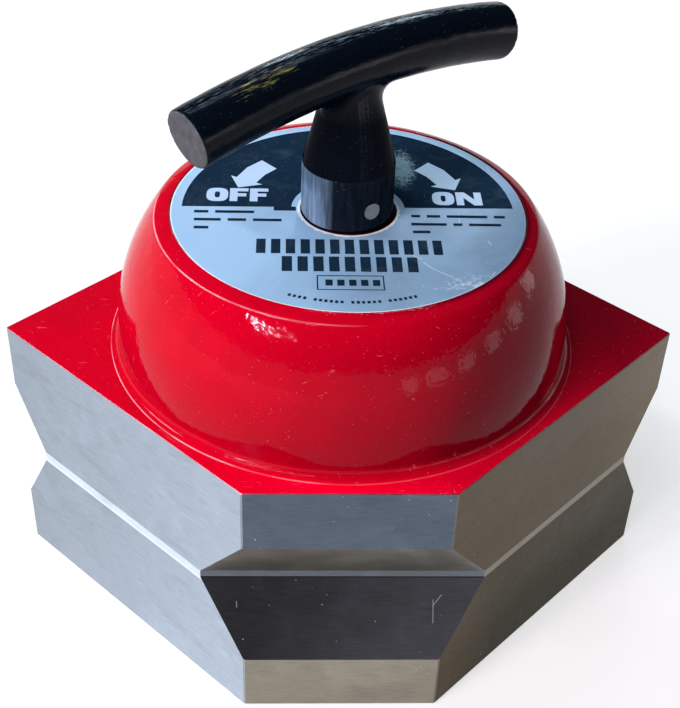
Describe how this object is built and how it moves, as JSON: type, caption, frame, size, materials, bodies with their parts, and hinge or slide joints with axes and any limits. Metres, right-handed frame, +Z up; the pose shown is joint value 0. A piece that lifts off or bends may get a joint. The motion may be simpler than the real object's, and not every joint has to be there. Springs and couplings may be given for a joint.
{
  "type": "switchable magnetic holder",
  "caption": "Switchable permanent-magnet block holder: two ground pole blocks with V grooves, domed cover and a T handle that turns the magnet on and off.",
  "frame": {"origin": "middle of the flat resting face, under the handle's axis", "axes": "+Z up along the spindle, +X towards the sharp right-hand corner, -Y towards the narrow front facet"},
  "size_m": [0.2314, 0.166, 0.2101],
  "materials": {
    "ground_steel": "surface-ground steel, fine straight grain",
    "red_enamel": "thick glossy red enamel on a casting",
    "black_enamel": "thick glossy black enamel on a cast handle",
    "aluminium_plate": "milled edge",
    "label_plate": "printed anodised plate",
    "soft_iron": "turned",
    "magnet_alloy": "cast and ground magnet alloy",
    "brass": "turned",
    "bronze": "sintered bush",
    "fastener_steel": "plain stainless",
    "rubber": "moulded ring"
  },
  "bodies": {
    "body": {"clamp_screws": "fastener_steel", "dome_cover": "red_enamel", "dome_screws": "fastener_steel", "label_disc": "label_plate", "locating_dowels": "fastener_steel", "lower_bush": "bronze", "lower_isolating_sleeve": "brass", "lower_pole_block": "ground_steel", "lower_pole_segment": "soft_iron", "lower_thrust_washer": "bronze", "pole_packers": "brass", "segment_keys": "fastener_steel", "spacer_plate": "aluminium_plate", "spindle_seal": "rubber", "stop_pin": "fastener_steel", "upper_bush": "bronze", "upper_isolating_sleeve": "brass", "upper_pole_block": "ground_steel", "upper_pole_segment": "soft_iron", "upper_thrust_washer": "bronze"},
    "turning_handle": {"spindle": "fastener_steel", "spindle_keys": "fastener_steel", "rotor_top_plate": "brass", "rotor_bottom_plate": "brass", "rotor_plate_screws": "fastener_steel", "rotor_magnets": "magnet_alloy", "rotor_shoe_north": "soft_iron", "rotor_shoe_south": "soft_iron", "rotor_cheeks": "brass", "handle": "black_enamel", "handle_cross_pin": "fastener_steel"}
  },
  "joints": [
    {"name": "handle_turn", "type": "hinge", "parent": "body", "child": "turning_handle", "pos_m": [0, 0, 0.15], "axis": [0, 0, 1], "range_deg": [0, 90]}
  ]
}
